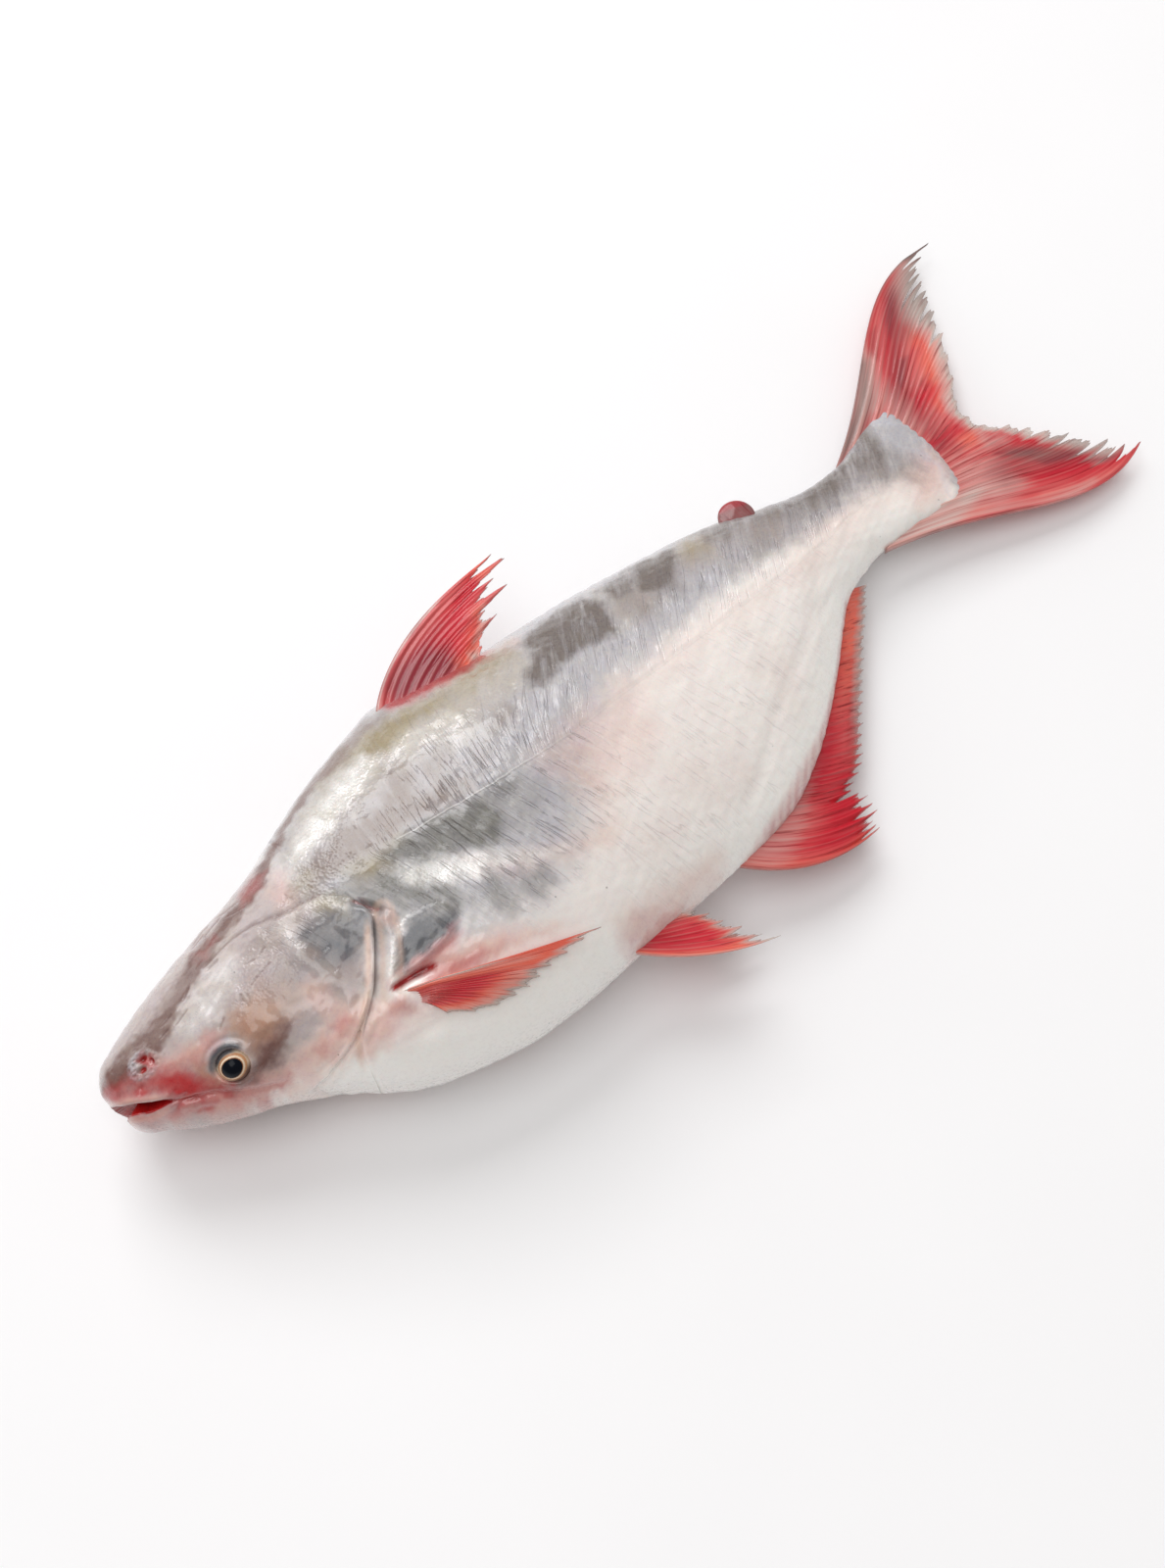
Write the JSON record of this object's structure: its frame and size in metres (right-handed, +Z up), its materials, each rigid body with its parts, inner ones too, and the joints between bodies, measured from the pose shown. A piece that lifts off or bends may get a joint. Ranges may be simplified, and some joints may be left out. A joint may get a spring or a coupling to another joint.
{
  "type": "whole raw fish",
  "caption": "Whole raw catfish with head, eyes and spread fins, uncut, lying on its right side.",
  "frame": {"origin": "centre of the part's box in plan, on the table that the fish lies on", "axes": "+X from the snout to the tail, +Y from the belly to the back, +Z up, away from the table and out of the fish's left flank"},
  "size_m": [0.5446, 0.2176, 0.0837],
  "materials": {
    "skin": "wet scaleless skin, grey over the back and pinkish white on the belly, with translucent red fins",
    "eye": "clear wet cornea over a black pupil and a gold iris"
  },
  "bodies": {
    "root": {"fish": "skin", "eye_left": "eye", "eye_right": "eye"}
  },
  "joints": []
}
